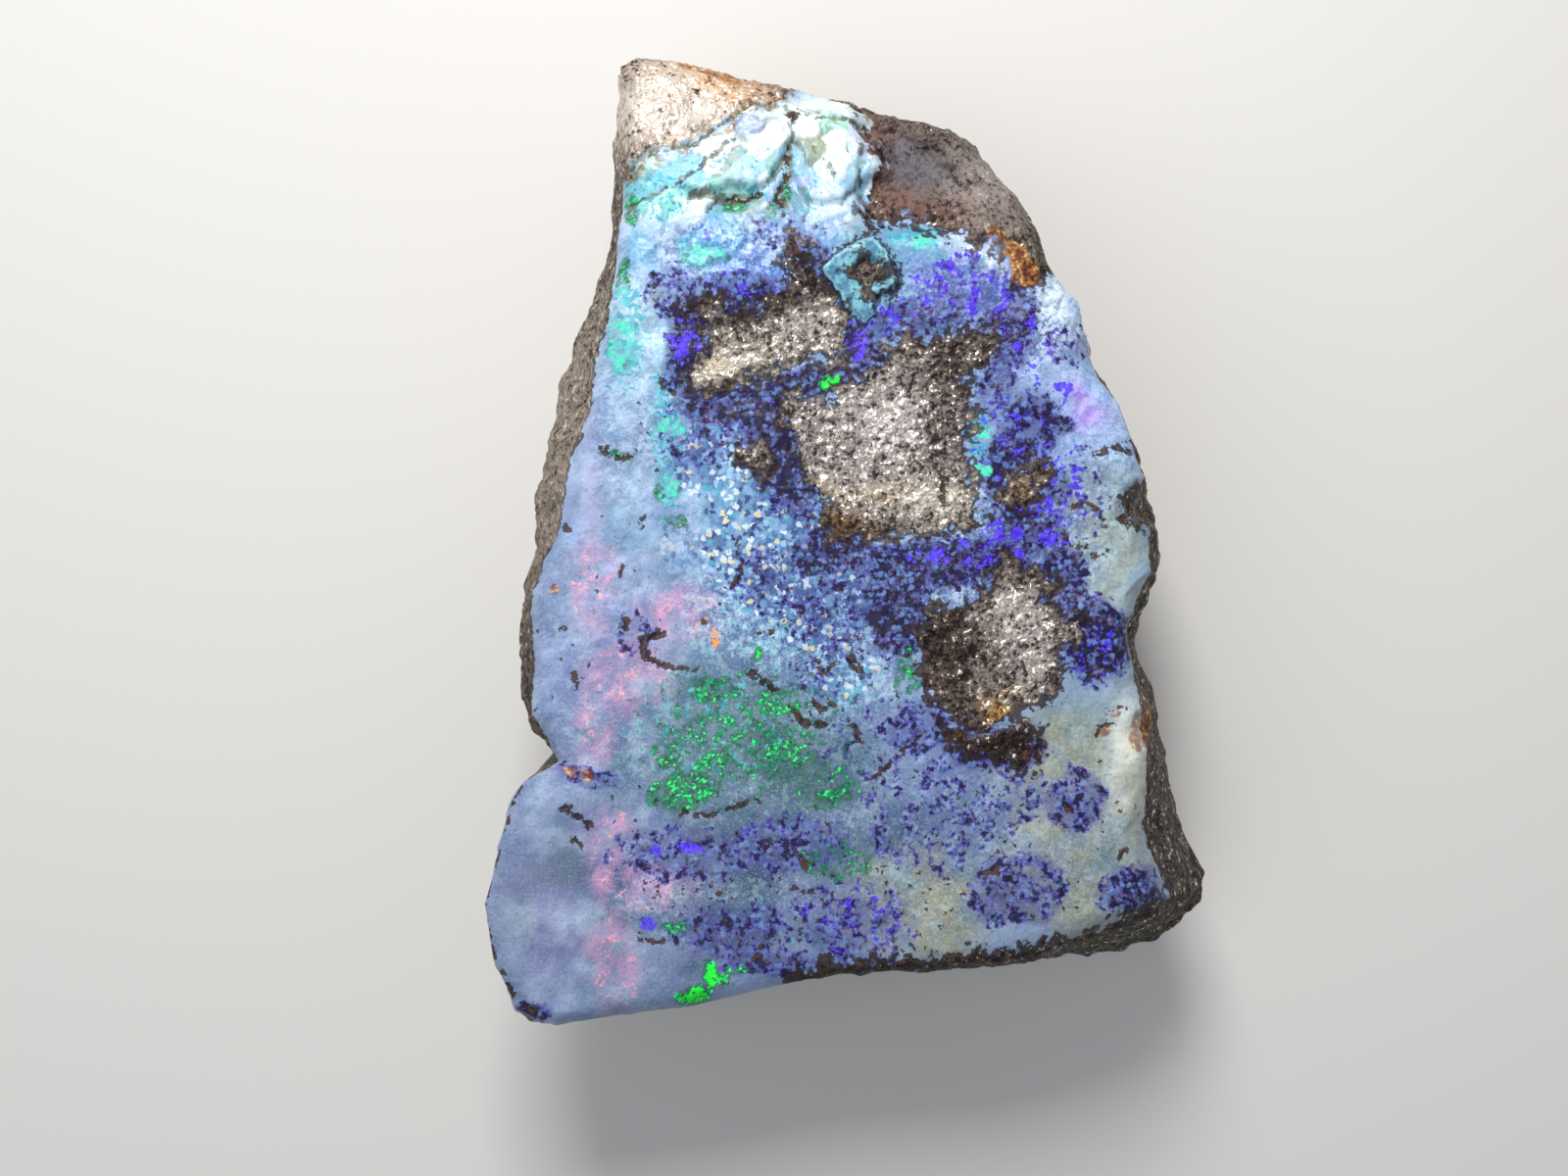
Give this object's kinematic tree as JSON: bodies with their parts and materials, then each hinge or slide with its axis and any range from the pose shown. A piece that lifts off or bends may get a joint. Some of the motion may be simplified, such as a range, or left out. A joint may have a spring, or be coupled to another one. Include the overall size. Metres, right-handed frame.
{
  "type": "boulder opal specimen",
  "caption": "Rough piece of boulder opal: dark ironstone with a broad iridescent opal face that narrows to a tip, lying on a small flat spot.",
  "frame": {"origin": "under the middle of the bounding box, on the plane that the stone lies on", "axes": "+Z out of the opal face, +Y along the stone's length toward its narrow tip, +X to the right as the opal face is seen with the tip up"},
  "size_m": [0.0446, 0.0594, 0.0184],
  "materials": {
    "boulder_opal": "milky blue, violet and green precious opal, lightly glossy on its broken face, with rough dark ironstone that glitters on the sides, the back and in three patches"
  },
  "bodies": {
    "root": {"opal": "boulder_opal"}
  },
  "joints": []
}
